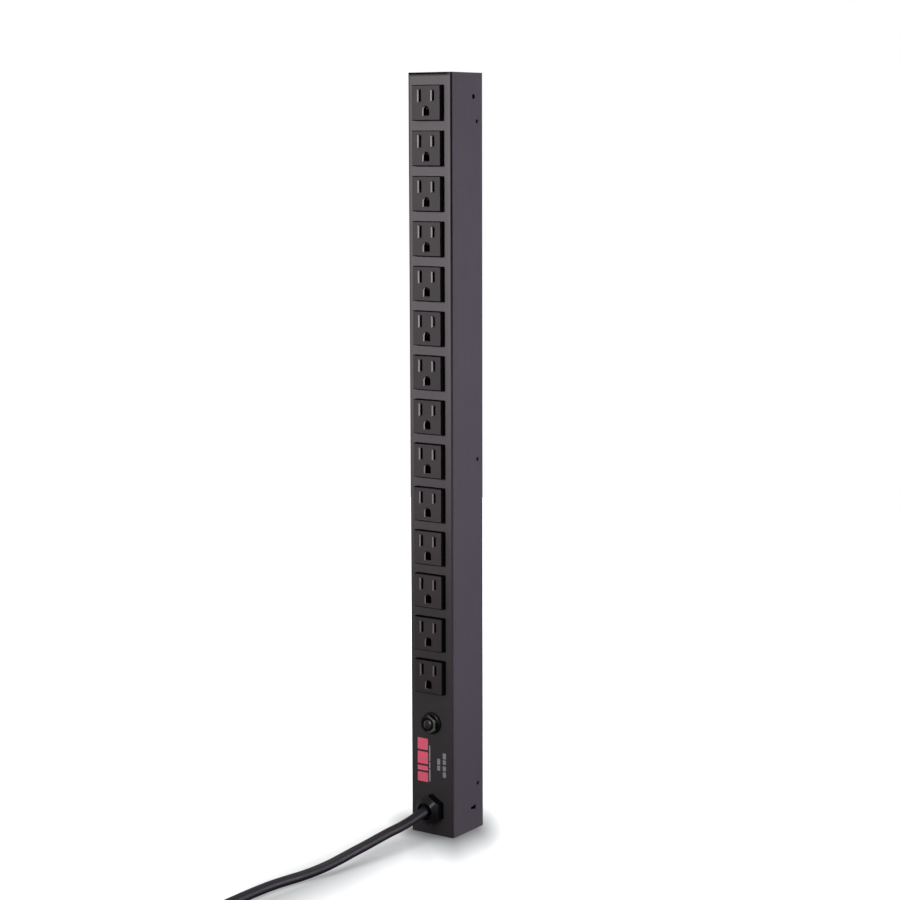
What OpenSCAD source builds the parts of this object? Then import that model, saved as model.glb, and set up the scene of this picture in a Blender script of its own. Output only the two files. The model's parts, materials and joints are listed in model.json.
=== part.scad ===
// Vertical (zero-U) rack power strip: folded steel housing, a column of outlets,
// a push-to-reset circuit breaker, a cable gland and a mains cord with its plug.
// Millimetres. The origin is the middle of the bottom end; the front faces -Y and +Z is up.

/* [Housing] */
// Outside width
housing_w = 42; // [42:0.5:46]
// Outside depth, front panel to rear cover
housing_d = 43.6; // [43:0.1:50]
// Overall height
housing_h = 621.5; // [621:0.5:660]
// Thickness of the sheet steel
sheet_t = 1.2; // [1:0.1:1.2]
// Outside radius of the folds
fold_r = 1.8; // [1.5:0.1:2.2]

/* [Outlets] */
// Number of outlets in the column
outlet_count = 14; // [14:1:14]
// Distance from one outlet to the next
outlet_pitch = 35.65; // [35.4:0.05:35.7]
// Width of an outlet's face block
outlet_w = 27.6; // [27:0.1:29]
// Height of an outlet's face block
outlet_h = 27.9; // [27:0.1:29]
// How far the face block stands proud of the panel
outlet_proud = 5; // [4:0.1:6]
// From the top end of the housing to the first outlet
outlet_top_gap = 9.9; // [9.5:0.1:11]

/* [Circuit breaker] */
// Height of the breaker's axis above the bottom end
breaker_z = 94.5; // [93:0.5:96]
// Outside diameter of the bezel ring
bezel_d = 18.4; // [17.5:0.1:19]
// Across the flats of the breaker's nut
breaker_nut_af = 14; // [13.5:0.1:14.5]
// Diameter of the reset button
button_d = 7.8; // [7:0.1:7.8]
// How far the button springs out when the breaker trips
button_travel = 3.5; // [2:0.1:3.5]

/* [Cable gland] */
// Height of the gland's axis above the bottom end
gland_z = 22; // [22:0.5:24]
// Across the flats of the gland's body and dome nut
gland_af = 22; // [21:0.5:22]

/* [Side openings] */
// From the rear face to the cover screws
screw_inset = 7.5; // [7:0.1:8]
// From each end to the first cover screw
screw_end_gap = 38.4; // [30:0.2:45]
// From the rear face to the bracket hole and the keyhole
bracket_inset = 12.4; // [12.4:0.1:13]
// Diameter of the bracket hole and of the keyhole's round end
bracket_hole_d = 4; // [3.5:0.1:4.2]

/* [Power cord] */
// Diameter of the cord
cord_d = 8; // [8:0.1:8]
// Straight length of the hank's runs
hank_run = 126; // [120:1:126]
// Layers of cord in the hank
hank_layers = 4; // [4:1:4]

/* [Hidden] */
$fn = 64;
eps = 0.01;
front_y = -housing_d / 2;
rear_y = housing_d / 2;
panel_in_y = front_y + sheet_t;
cover_in_y = rear_y - sheet_t;
slip = 0.05;
inner_half = housing_w / 2 - sheet_t;

// rear cover and end plates
flange_len = 10;
flange_half = inner_half - slip - sheet_t;
end_flange = 8;
cover_corner_r = 1;

// cover screws
screw_d = 2.9;
screw_head_d = 4.8;
screw_head_h = 1;
screw_len = 4.6;
screw_y = rear_y - screw_inset;
screw_zs = [screw_end_gap, housing_h / 2, housing_h - screw_end_gap];

// bracket holes in the sides
bracket_y = rear_y - bracket_inset;
bracket_hole_z = housing_h - 18.9;
keyhole_z = 19;
keyhole_slot_w = 2.2;
keyhole_slot_len = 5.4;

// outlets, about the middle of the panel behind each
outlet_edge = 0.6;
outlet_body = [24.6, 17, 25.4];
outlet_hole = [25, 25.8];
outlet_front_wall = 4;
cap_t = 2;
slot_z = 5.5;
blade_offset = 6.35;
neutral_slot = [2.2, 8.8];
line_slot = [2, 7.4];
slot_lead = 0.9;
ground_z = -6.5;
ground_slot_r = 2.7;
ground_half = 3.4;
ground_lead_in = 0.7;
ground_depth = -0.7;
clip_room = [5.2, 9.8];
ground_room = [8.6, 8.8];
clip_t = 0.8;
clip_tail_w = 2.4;
ground_tail_z = 1.8;
latch = [10, 4, 0.9];

// bus bars
bus_w = 5;
bus_t = 1.2;
bus_y = front_y + outlet_body[1] + cap_t + 1.2;
ground_bus_y = bus_y + 3.6;
bus_low_z = 110;
bus_overrun = 6;

// insulating sheet
liner_t = 0.4;
liner_half = 17.8;
liner_fold = 2.6;
liner_low_z = 108;

// circuit breaker
thread_d = 11;
thread_hole_d = 11.2;
bezel_h = 2.6;
bezel_wall_h = 1.8;
breaker_nut_h = 3.4;
bushing_bore_d = 8;
bushing_proud = 5.8;
bushing_flange_d = 14;
bushing_flange_t = 1.5;
button_proud = 6.9;
collar_d = 10;
collar_t = 1.4;
stem_d = 4;
breaker_w = 15;
breaker_h = 26;
breaker_wall = 1.5;
breaker_front_y = panel_in_y + bushing_flange_t + slip;
breaker_rear_y = 6;
breaker_seat_y = -6;
collar_y = breaker_front_y + breaker_wall + 0.1 + button_travel;
terminal_y = 9;
terminal_out = 8;
terminal_w = 6.3;
terminal_t = 0.8;

// cable gland
gland_flange_h = 2.8;
gland_nut_gap = 0.2;
gland_nut_side_h = 8.3;
gland_nut_h = 11.2;
gland_nose_d = 14.6;
gland_mouth_d = 12;
gland_thread_d = 15.6;
gland_hole_d = 16;
gland_bore_d = 12.6;
gland_inner_y = -9;
gland_locknut_af = 20;
gland_locknut_t = 4;
seal_front_y = front_y - 9;
seal_rear_y = -9.5;

// ground stud on the left side wall
stud_d = 4;
stud_len = 9;
stud_y = -4;
stud_z = 52;
stud_nut_af = 7;
stud_nut_t = 3.2;

// inside leads
lead_d = 3;
lead_sides = 8;
lead_steps = 3;
sleeve_len = 9;
sleeve_gap = 1.6;
sleeve_end = 2.6;
crimp_end = terminal_out + sleeve_gap + sleeve_len + sleeve_end + 0.2;

line_supply_route = [[1.9, -6, 23], [2.2, -1.5, 23.6], [2.8, 3, 27.5], [2.8, 6.5, 34], [1.6, 8.6, 44],
    [0.2, 9, 58], [0, terminal_y, breaker_z - crimp_end]];
line_load_route = [[0, terminal_y, breaker_z + crimp_end], [0.4, 9, 119], [2.4, 8.4, 122.6], [5, 6, 123.4],
    [6.3, 3.2, 120.4], [6.4, 1.5, 116], [6.4, 1.1, 110.5]];
neutral_route = [[-1.9, -6, 23.2], [-2.3, -1.5, 23.8], [-4, 2.6, 28], [-6.6, 5.4, 36], [-9.4, 6.8, 48],
    [-10.6, 7, 62], [-10.6, 7, 82], [-10.4, 6.4, 100], [-9, 4.2, 110], [-7, 2, 117], [-6.4, 1.1, 124]];
ground_route = [[0, -6, 20], [-0.8, -1.5, 20.2], [-3.4, 1.8, 22], [-7.6, 3, 25.4], [-11.4, 1.6, 30],
    [-13.8, -1.6, 35.4], [-14.4, -3.9, 41], [-14.4, -4, 43.5], [-14.4, -4, 45.9]];
jumper_route = [[-14.4, -4, 58.1], [-14.4, -4, 60.5], [-14.4, -3, 64], [-14.5, 1, 69], [-14.6, 7, 76],
    [-14.2, 12.6, 86], [-12.4, 15.4, 98], [-8.4, 15, 110], [-4, 12, 120], [-1, 7.8, 129], [0, 5.1, 136],
    [0, 4.7, 144]];

// power cord: the route's points, by hand
cord_sides = 10;
cord_steps = 3;
cord_route = [[0, -6, 22], [0, -20, 22], [0, -33, 22], [0, -45, 20.5], [0, -56, 19], [0, -68, 18],
    [-1, -80, 17], [-2, -94, 15.5], [-3.5, -108, 13.5], [-5.5, -122, 11.5], [-7.5, -135, 9.4],
    [-10, -148, 7.2], [-13.5, -161, 5.3], [-17, -175, 4.3], [-20, -188, 4.1], [-22.4, -202, 4.1],
    [-23.6, -218, 4.1], [-24, -240, 4.1], [-24, -270, 4.1], [-24, -310, 4.1], [-24, -345, 4.1],
    [-24, -370, 4.1]];
hank_x = 8;
hank_near_y = -370;
hank_inner_r = 3 * cord_d;
hank_outer_r = hank_inner_r + cord_d;
hank_far_y = hank_near_y - hank_run;
hank_h = hank_layers * cord_d;
tail_route = [[32, -504, 4.1], [32, -494, 4.1], [29.8, -482, 4.6], [24.6, -470, 6.6], [18, -461, 8.8],
    [12, -452, 11], [8.8, -445, 12], [8, -438, 12], [8, -426, 12], [8, -414, 12]];
tie_y = -398;
tie_w = 5;
tie_t = 0.7;

// plug, lying on its flat side
plug_z = 12;
plug_rear_y = -414;
plug_face_y = -378;
plug_half_w = 13.5;
plug_half_h = 12;
relief_rear_y = -444;
blade_t = 1.5;
blade_w = 6.3;
blade_len = 17.9;
pin_d = 4.8;
pin_len = 20.6;
pin_drop = 11.9;
blade_x = hank_x - 4;

function outlet_z(i) = housing_h - outlet_top_gap - outlet_h / 2 - i * outlet_pitch;
function outlet_name(i) = str("outlet_", i < 9 ? "0" : "", i + 1);

// A box between two opposite corners
module block(low, high) {
    translate(low) cube(high - low);
}

// A rod along +Y, at x and z, from y0 to y1
module rod_y(x, z, y0, y1, d) {
    translate([x, y0, z]) rotate([-90, 0, 0]) cylinder(h = y1 - y0, d = d);
}

// A cone along +Y, at x and z, from diameter d0 at y0 to d1 at y1
module cone_y(x, z, y0, y1, d0, d1) {
    translate([x, y0, z]) rotate([-90, 0, 0]) cylinder(h = y1 - y0, d1 = d0, d2 = d1);
}

// A hexagonal bar along +Y with flats to the left and right
module hex_y(x, z, y0, y1, af) {
    translate([x, y0, z]) rotate([-90, 0, 0]) rotate([0, 0, 30])
        cylinder(h = y1 - y0, d = af / cos(30), $fn = 6);
}

// A prism along Z whose outline is given in X and Y
module prism_z(outline, z0, z1) {
    translate([0, 0, z0]) linear_extrude(z1 - z0) polygon(outline);
}

// A prism along X whose outline is given in Y and Z
module prism_x(outline, x0, x1) {
    translate([x0, 0, 0]) rotate([90, 0, 90]) linear_extrude(x1 - x0) polygon(outline);
}

// The plan of a folded channel's outside: two rounded corners at y = 0, square at y = d
module fold_plan(w, d, r) {
    translate([-w / 2, r]) square([w, d - r]);
    translate([r - w / 2, 0]) square([w - 2 * r, d]);
    for (side = [-1, 1]) translate([side * (w / 2 - r), r]) circle(r);
}

// A folded channel that opens towards +Y
module channel(w, d, r, t, h) {
    linear_extrude(h) difference() {
        fold_plan(w, d, r);
        translate([0, t]) fold_plan(w - 2 * t, d, r - t);
    }
}

// A smooth curve through the points, and a tube swept along it
function catmull(a, b, c, d, t) =
    0.5 * (2 * b + (c - a) * t + (2 * a - 5 * b + 4 * c - d) * t * t + (3 * b - 3 * c + d - a) * t * t * t);
function smooth_path(p, steps) = [
    for (i = [0:len(p) - 2]) for (k = [0:steps - 1])
        catmull(p[max(i - 1, 0)], p[i], p[i + 1], p[min(i + 2, len(p) - 1)], k / steps),
    p[len(p) - 1]
];
function unit(v) = v / norm(v);

// reference is a direction that the path never follows
module tube(path, d, sides, reference) {
    last = len(path) - 1;
    points = [
        for (i = [0:last])
            let (along = unit(path[min(i + 1, last)] - path[max(i - 1, 0)]),
                u = unit(cross(reference, along)),
                v = cross(along, u))
            for (k = [0:sides - 1]) path[i] + d / 2 * (cos(360 * k / sides) * u + sin(360 * k / sides) * v)
    ];
    walls = [
        for (i = [0:last - 1]) for (k = [0:sides - 1])
            let (a = i * sides + k, b = i * sides + (k + 1) % sides)
            [a, a + sides, b + sides, b]
    ];
    polyhedron(points, concat([[for (k = [0:sides - 1]) k]], walls,
        [[for (k = [sides - 1:-1:0]) last * sides + k]]));
}

// The housing's openings
module outlet_cutouts() {
    for (i = [0:outlet_count - 1])
        translate([0, front_y + sheet_t / 2, outlet_z(i)])
            cube([outlet_hole[0], 2 * sheet_t, outlet_hole[1]], center = true);
}

module side_openings() {
    for (z = screw_zs)
        translate([0, screw_y, z]) rotate([0, 90, 0]) {
            cylinder(h = housing_w + 2, d = screw_d + 0.3, center = true);
            for (side = [0, 180]) rotate([side, 0, 0])
                translate([0, 0, housing_w / 2 - screw_head_h])
                    cylinder(h = screw_head_h + eps, d1 = screw_d + 0.3, d2 = screw_head_d + 0.2);
        }
    translate([0, bracket_y, bracket_hole_z]) rotate([0, 90, 0])
        cylinder(h = housing_w + 2, d = bracket_hole_d, center = true);
    translate([0, bracket_y, keyhole_z]) rotate([0, 90, 0])
        cylinder(h = housing_w + 2, d = bracket_hole_d, center = true);
    block([-housing_w, bracket_y - keyhole_slot_len, keyhole_z - keyhole_slot_w / 2],
        [housing_w, bracket_y, keyhole_z + keyhole_slot_w / 2]);
}

module front_housing() {
    color("#2b2a2d") difference() {
        translate([0, front_y, 0]) channel(housing_w, housing_d, fold_r, sheet_t, housing_h);
        outlet_cutouts();
        rod_y(0, breaker_z, front_y - 1, panel_in_y + 1, thread_hole_d);
        rod_y(0, gland_z, front_y - 1, panel_in_y + 1, gland_hole_d);
        side_openings();
    }
}

module rear_cover() {
    color("#29282b") difference() {
        translate([0, rear_y, 0]) mirror([0, 1, 0])
            channel(2 * (inner_half - slip), flange_len, fold_r, sheet_t, housing_h);
        for (z = screw_zs) translate([0, screw_y, z]) rotate([0, 90, 0])
            cylinder(h = housing_w, d = screw_d + 0.1, center = true);
    }
}

// The plan of an end plate: the rear part is narrower, to sit between the cover's flanges
module end_plan() {
    depth = cover_in_y - panel_in_y - 2 * slip;
    front_part = rear_y - flange_len - panel_in_y - 2 * slip;
    translate([0, panel_in_y + slip]) {
        fold_plan(2 * (inner_half - slip), front_part, cover_corner_r);
        translate([0, depth]) mirror([0, 1]) fold_plan(2 * (flange_half - slip), depth / 2, cover_corner_r);
    }
}

// A plate across the bottom end, with flanges turned up inside the housing
module end_plate() {
    side_y0 = panel_in_y + 3;
    side_y1 = rear_y - flange_len - 1;
    linear_extrude(sheet_t) end_plan();
    block([-16, panel_in_y + slip, 0], [16, panel_in_y + slip + sheet_t, end_flange]);
    for (side = [0, 1]) mirror([side, 0, 0])
        block([inner_half - slip - sheet_t, side_y0, 0], [inner_half - slip, side_y1, end_flange]);
}

module bottom_end_plate() {
    color("#2a292c") end_plate();
}

module top_end_plate() {
    color("#2a292c") translate([0, 0, housing_h]) mirror([0, 0, 1]) end_plate();
}

// A flush-head screw with a cross recess; its head's face is at the origin and it runs along -Z
module flush_screw() {
    difference() {
        union() {
            translate([0, 0, -screw_head_h]) cylinder(h = screw_head_h, d1 = screw_d, d2 = screw_head_d);
            translate([0, 0, -screw_len]) cylinder(h = screw_len - screw_head_h + eps, d = screw_d);
        }
        for (turn = [0, 90]) rotate([0, 0, turn]) cube([2.4, 0.6, 1.6], center = true);
    }
}

module cover_screws() {
    color("#1d1d1f") for (side = [0, 1]) mirror([side, 0, 0]) for (z = screw_zs)
        translate([housing_w / 2 - slip, screw_y, z]) rotate([0, 90, 0]) flush_screw();
}

// A slot's lead-in: as deep as it is wider than the slot on each side
module slot_lead_in(w, h, c) {
    intersection() {
        prism_z([[-w / 2 - c, 0], [w / 2 + c, 0], [w / 2, c], [-w / 2, c]], -h, h);
        prism_x([[0, -h / 2 - c], [c, -h / 2], [c, h / 2], [0, h / 2 + c]], -w, w);
    }
}

// An upright slot through the front wall, its mouth at y = 0
module blade_slot(size) {
    block([-size[0] / 2, -1, -size[1] / 2], [size[0] / 2, outlet_front_wall + 1, size[1] / 2]);
    translate([0, -eps, 0]) slot_lead_in(size[0], size[1], slot_lead);
}

// The ground hole: a round top on a square bottom
module ground_slot() {
    r = ground_slot_r;
    arch_z = ground_half - r;
    c = ground_lead_in;
    rod_y(0, arch_z, -1, outlet_front_wall + 1, 2 * r);
    block([-r, -1, -ground_half], [r, outlet_front_wall + 1, arch_z]);
    cone_y(0, arch_z, -eps, c, 2 * (r + c + eps), 2 * r);
    intersection() {
        prism_z([[-r - c, -eps], [r + c, -eps], [r, c], [-r, c]], -ground_half - c, arch_z);
        prism_x([[-eps, -ground_half - c], [c, -ground_half], [c, arch_z], [-eps, arch_z]], -2 * r, 2 * r);
    }
}

// The face block, with its four front edges broken
module outlet_face() {
    c = outlet_edge;
    w = outlet_w / 2;
    h = outlet_h / 2;
    intersection() {
        prism_z([[-w, 0], [-w, c - outlet_proud], [c - w, -outlet_proud], [w - c, -outlet_proud],
            [w, c - outlet_proud], [w, 0]], -h, h);
        prism_x([[0, -h], [c - outlet_proud, -h], [-outlet_proud, c - h], [-outlet_proud, h - c],
            [c - outlet_proud, h], [0, h]], -w, w);
    }
}

// A barbed latch that holds the outlet behind the panel
module outlet_latch() {
    y0 = sheet_t + 0.1;
    z0 = outlet_body[2] / 2;
    prism_x([[y0, z0 - 1], [y0, z0 + latch[2]], [y0 + latch[1], z0], [y0 + latch[1], z0 - 1]],
        -latch[0] / 2, latch[0] / 2);
}

module outlet_moulding() {
    room_y = outlet_front_wall - outlet_proud;
    difference() {
        union() {
            outlet_face();
            block([-outlet_body[0] / 2, -eps, -outlet_body[2] / 2],
                [outlet_body[0] / 2, outlet_body[1], outlet_body[2] / 2]);
            for (end = [0, 1]) mirror([0, 0, end]) outlet_latch();
        }
        translate([-blade_offset, -outlet_proud, slot_z]) blade_slot(neutral_slot);
        translate([blade_offset, -outlet_proud, slot_z]) blade_slot(line_slot);
        translate([0, -outlet_proud, ground_z]) ground_slot();
        for (side = [-1, 1])
            block([side * blade_offset - clip_room[0] / 2, room_y, slot_z - clip_room[1] / 2],
                [side * blade_offset + clip_room[0] / 2, outlet_body[1] + 1, slot_z + clip_room[1] / 2]);
        block([-ground_room[0] / 2, room_y, ground_z - ground_room[1] / 2],
            [ground_room[0] / 2, outlet_body[1] + 1, ground_z + ground_room[1] / 2]);
    }
}

module outlet(i) {
    color("#1f1e20") translate([0, front_y, outlet_z(i)]) outlet_moulding();
}

module at_each_outlet() {
    for (i = [0:outlet_count - 1]) translate([0, front_y, outlet_z(i)]) children();
}

module outlet_rear_caps() {
    slit = [clip_t + 0.2, clip_tail_w + 0.2];
    y0 = outlet_body[1];
    color("#262528") at_each_outlet() difference() {
        block([-outlet_body[0] / 2, y0, -outlet_body[2] / 2],
            [outlet_body[0] / 2, y0 + cap_t, outlet_body[2] / 2]);
        for (spot = [[-blade_offset, slot_z], [blade_offset, slot_z], [0, ground_z + ground_tail_z]])
            block([spot[0] - slit[0] / 2, y0 - 1, spot[1] - slit[1] / 2],
                [spot[0] + slit[0] / 2, y0 + cap_t + 1, spot[1] + slit[1] / 2]);
    }
}

// A spring clip: two leaves, a base that joins them and a tail back to its bus bar
module clip(gap, leaf_h, leaf_y, base_y, tail_y, tail_z = 0) {
    for (side = [0, 1]) mirror([side, 0, 0])
        block([gap / 2, leaf_y, -leaf_h / 2], [gap / 2 + clip_t, base_y + clip_t, leaf_h / 2]);
    block([-gap / 2 - clip_t, base_y, -leaf_h / 2], [gap / 2 + clip_t, base_y + clip_t, leaf_h / 2]);
    block([-clip_t / 2, base_y, tail_z - clip_tail_w / 2], [clip_t / 2, tail_y, tail_z + clip_tail_w / 2]);
}

module line_contacts() {
    color("#b08a45") at_each_outlet() translate([blade_offset, 0, slot_z])
        clip(1.3, 6.4, 2, 14, bus_y - front_y);
}

module neutral_contacts() {
    color("#b08a45") at_each_outlet() translate([-blade_offset, 0, slot_z])
        clip(1.3, 7.6, 2, 14, bus_y - front_y);
}

module ground_contacts() {
    color("#b59458") at_each_outlet() translate([0, 0, ground_z])
        clip(4.6, 6, ground_depth, 15.8, ground_bus_y - front_y, ground_tail_z);
}

module bus_bar(x, y) {
    block([x - bus_w / 2, y, bus_low_z], [x + bus_w / 2, y + bus_t, outlet_z(0) + slot_z + bus_overrun]);
}

module line_bus_bar() {
    color("#b87333") bus_bar(blade_offset, bus_y);
}

module neutral_bus_bar() {
    color("#b87333") bus_bar(-blade_offset, bus_y);
}

module ground_bus_bar() {
    color("#b87333") bus_bar(0, ground_bus_y);
}

module insulating_sheet() {
    y1 = cover_in_y;
    z1 = housing_h - end_flange - 2;
    color("#d8d2bd") {
        block([-liner_half, y1 - liner_t, liner_low_z], [liner_half, y1, z1]);
        for (side = [0, 1]) mirror([side, 0, 0])
            block([liner_half - liner_t, y1 - liner_fold, liner_low_z], [liner_half, y1, z1]);
    }
}

module breaker_body() {
    w = breaker_w / 2;
    h = breaker_h / 2;
    t = breaker_wall;
    color("#1c1c1e") translate([0, 0, breaker_z]) difference() {
        block([-w, breaker_front_y, -h], [w, breaker_rear_y - t, h]);
        block([t - w, breaker_front_y + t, t - h], [w - t, breaker_seat_y, h - t]);
        block([t - w, breaker_seat_y + t, t - h], [w - t, breaker_rear_y, h - t]);
        rod_y(0, 0, breaker_front_y - 1, breaker_front_y + t + 1, bushing_bore_d + 0.4);
        rod_y(0, 0, breaker_seat_y - 1, breaker_seat_y + t + 1, stem_d + 0.6);
    }
}

module breaker_cap() {
    w = breaker_w / 2;
    h = breaker_h / 2;
    slit = [terminal_w + 0.2, terminal_t + 0.2];
    color("#5b3a24") translate([0, 0, breaker_z]) difference() {
        block([-w, breaker_rear_y - breaker_wall, -h], [w, breaker_rear_y, h]);
        for (side = [-1, 1])
            block([-slit[0] / 2, 0, side * terminal_out - slit[1] / 2],
                [slit[0] / 2, breaker_rear_y + 1, side * terminal_out + slit[1] / 2]);
    }
}

module breaker_bushing() {
    color("#9b9ba0") difference() {
        union() {
            rod_y(0, breaker_z, front_y - bushing_proud, panel_in_y + eps, thread_d);
            rod_y(0, breaker_z, panel_in_y, panel_in_y + bushing_flange_t, bushing_flange_d);
        }
        rod_y(0, breaker_z, front_y - bushing_proud - 1, panel_in_y + bushing_flange_t + 1, bushing_bore_d);
    }
}

module breaker_bezel() {
    color("#1a1a1c") translate([0, front_y, breaker_z]) rotate([90, 0, 0]) rotate_extrude()
        polygon([[thread_hole_d / 2, 0], [bezel_d / 2, 0], [bezel_d / 2, bezel_wall_h],
            [bezel_d / 2 - 1.2, bezel_h], [thread_hole_d / 2, bezel_h]]);
}

module breaker_nut() {
    y0 = front_y - bezel_h - breaker_nut_h;
    y1 = front_y - bezel_h;
    color("#242427") difference() {
        intersection() {
            hex_y(0, breaker_z, y0, y1, breaker_nut_af);
            cone_y(0, breaker_z, y0, y1, breaker_nut_af - 0.6, breaker_nut_af - 0.6 + 4.4 * breaker_nut_h);
        }
        rod_y(0, breaker_z, y0 - 1, y1 + 1, thread_hole_d);
    }
}

module breaker_button() {
    y0 = front_y - button_proud;
    stem_y0 = collar_y + collar_t - eps;
    stem_y1 = breaker_seat_y + breaker_wall + button_travel + 0.5;
    color("#161618") {
        cone_y(0, breaker_z, y0, y0 + 0.8, button_d - 1.6, button_d);
        rod_y(0, breaker_z, y0 + 0.8, collar_y + eps, button_d);
        rod_y(0, breaker_z, collar_y, collar_y + collar_t, collar_d);
        rod_y(0, breaker_z, stem_y0, stem_y1, stem_d);
    }
}

module breaker_spring() {
    wire_d = 0.6;
    coil_r = 3.4;
    turns = 5;
    y0 = collar_y + collar_t + wire_d / 2;
    y1 = breaker_seat_y - wire_d / 2;
    path = [for (a = [0:24:360 * turns])
        [coil_r * cos(a), y0 + (y1 - y0) * a / (360 * turns), breaker_z + coil_r * sin(a)]];
    color("#c0c2c6") tube(path, wire_d, 6, [0, 1, 0]);
}

// A shallow bowed strip with a contact at each end
module breaker_bimetal() {
    bow_r = 20;
    color("#a8865a") translate([0, 0, breaker_z]) {
        intersection() {
            translate([-2, 1.2 + bow_r, 0]) rotate([0, 90, 0]) difference() {
                cylinder(h = 4, r = bow_r);
                translate([0, 0, -1]) cylinder(h = 6, r = bow_r - 0.5);
            }
            block([-3, 0, -7.4], [3, 3.4, 7.4]);
        }
    }
}

// Tabs for push-on terminals: in through the cap, then turned up or down
module breaker_terminals() {
    w = terminal_w / 2;
    t = terminal_t / 2;
    y0 = breaker_rear_y - breaker_wall - 1.6;
    tab_end = terminal_out + sleeve_gap + sleeve_len;
    color("#c9b27a") for (side = [0, 1]) translate([0, 0, breaker_z]) mirror([0, 0, side]) {
        block([-w, y0, terminal_out - t], [w, terminal_y + t, terminal_out + t]);
        block([-w, terminal_y - t, terminal_out - t], [w, terminal_y + t, tab_end]);
    }
}

module gland_body() {
    color("#19191b") difference() {
        union() {
            hex_y(0, gland_z, front_y - gland_flange_h, front_y, gland_af);
            rod_y(0, gland_z, front_y - gland_nut_side_h, gland_inner_y, gland_thread_d);
        }
        rod_y(0, gland_z, front_y - gland_nut_h, gland_inner_y + 1, gland_bore_d);
    }
}

module gland_nut() {
    y_base = front_y - gland_flange_h - gland_nut_gap;
    y_side = front_y - gland_nut_side_h;
    y_nose = front_y - gland_nut_h;
    slope_d = (gland_af - gland_nose_d) / (y_side - y_nose);
    color("#19191b") difference() {
        intersection() {
            hex_y(0, gland_z, y_nose, y_base, gland_af);
            cone_y(0, gland_z, y_nose, y_base, gland_nose_d, gland_nose_d + slope_d * (y_base - y_nose));
        }
        rod_y(0, gland_z, y_nose - 1, y_base + 1, gland_mouth_d);
        rod_y(0, gland_z, y_side - 0.4, y_base + 1, gland_thread_d + 0.1);
    }
}

// The tapered sleeve that grips the cord and takes its bending
module gland_seal() {
    color("#101011") difference() {
        cone_y(0, gland_z, seal_front_y, seal_rear_y, gland_mouth_d - 0.1, gland_mouth_d - 1.6);
        rod_y(0, gland_z, seal_front_y - 1, seal_rear_y + 1, cord_d);
    }
}

module gland_locknut() {
    color("#202022") difference() {
        hex_y(0, gland_z, panel_in_y, panel_in_y + gland_locknut_t, gland_locknut_af);
        rod_y(0, gland_z, panel_in_y - 1, panel_in_y + gland_locknut_t + 1, gland_thread_d + 0.1);
    }
}

module lead(route) {
    tube(smooth_path(route, lead_steps), lead_d, lead_sides, [1, 0, 0]);
}

module line_supply_lead() {
    color("#141414") lead(line_supply_route);
}

module line_load_lead() {
    color("#141414") lead(line_load_route);
}

module neutral_lead() {
    color("#e8e6e0") lead(neutral_route);
}

module ground_lead() {
    color("#2f7d3b") lead(ground_route);
}

module ground_jumper() {
    color("#2f7d3b") lead(jumper_route);
}

// A sleeve on each breaker tab, and a ring on the stud for each ground lead
module crimp_terminals() {
    ring_x = [-inner_half + 1, -inner_half + 1.85];
    color("#c4c6c8") {
        for (side = [0, 1]) translate([0, terminal_y, breaker_z]) mirror([0, 0, side])
            translate([0, 0, terminal_out + sleeve_gap]) difference() {
                block([-terminal_w / 2 - 0.9, -1.3, 0], [terminal_w / 2 + 0.9, 1.3, sleeve_len + sleeve_end]);
                block([-terminal_w / 2 - 0.1, -0.5, -1], [terminal_w / 2 + 0.1, 0.5, sleeve_len + 0.2]);
            }
        for (turn = [0, 1]) difference() {
            union() {
                translate([ring_x[turn], stud_y, stud_z]) rotate([0, 90, 0]) cylinder(h = 0.8, d = 8);
                translate([0, 0, stud_z]) mirror([0, 0, 1 - turn])
                    block([ring_x[turn], stud_y - 2.2, 0], [ring_x[turn] + 0.8, stud_y + 2.2, 5.6]);
                translate([0, 0, stud_z]) mirror([0, 0, 1 - turn])
                    block([ring_x[turn], stud_y - 2.2, 5.2], [-12.4, stud_y + 2.2, 6]);
            }
            translate([-housing_w / 2, stud_y, stud_z]) rotate([0, 90, 0])
                cylinder(h = housing_w / 2, d = stud_d + 0.3);
        }
    }
}

module ground_stud() {
    color("#c8cacc") translate([-inner_half, stud_y, stud_z]) rotate([0, 90, 0]) {
        cylinder(h = 1, d = 7);
        cylinder(h = stud_len, d = stud_d);
    }
}

module ground_nut() {
    color("#c8cacc") translate([-inner_half + 2.65, stud_y, stud_z]) rotate([0, 90, 0]) difference() {
        cylinder(h = stud_nut_t, d = stud_nut_af / cos(30), $fn = 6);
        translate([0, 0, -1]) cylinder(h = stud_nut_t + 2, d = stud_d + 0.1);
    }
}

module cord_lead() {
    color("#17171a") tube(smooth_path(cord_route, cord_steps), cord_d, cord_sides, [1, 0, 0]);
}

// The plan of the hank's outside: two straight sides and two round ends
module stadium(r) {
    for (y = [hank_near_y, hank_far_y]) translate([hank_x, y]) circle(r);
    translate([hank_x - r, hank_far_y]) square([2 * r, hank_run]);
}

module cord_hank() {
    color("#17171a") linear_extrude(hank_h) difference() {
        stadium(hank_outer_r + cord_d / 2);
        stadium(hank_inner_r - cord_d / 2);
    }
}

module cord_tail() {
    color("#17171a") tube(smooth_path(tail_route, cord_steps), cord_d, cord_sides, [0, 0, 1]);
}

// One band round each side of the hank
module hank_ties() {
    mid = (hank_inner_r + hank_outer_r) / 2;
    color("#0f0f10") for (side = [-1, 1]) translate([hank_x + side * mid, 0, 0]) difference() {
        block([-cord_d, tie_y - tie_w / 2, 0], [cord_d, tie_y + tie_w / 2, hank_h]);
        block([tie_t - cord_d, tie_y - tie_w, tie_t], [cord_d - tie_t, tie_y + tie_w, hank_h - tie_t]);
    }
}

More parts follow.
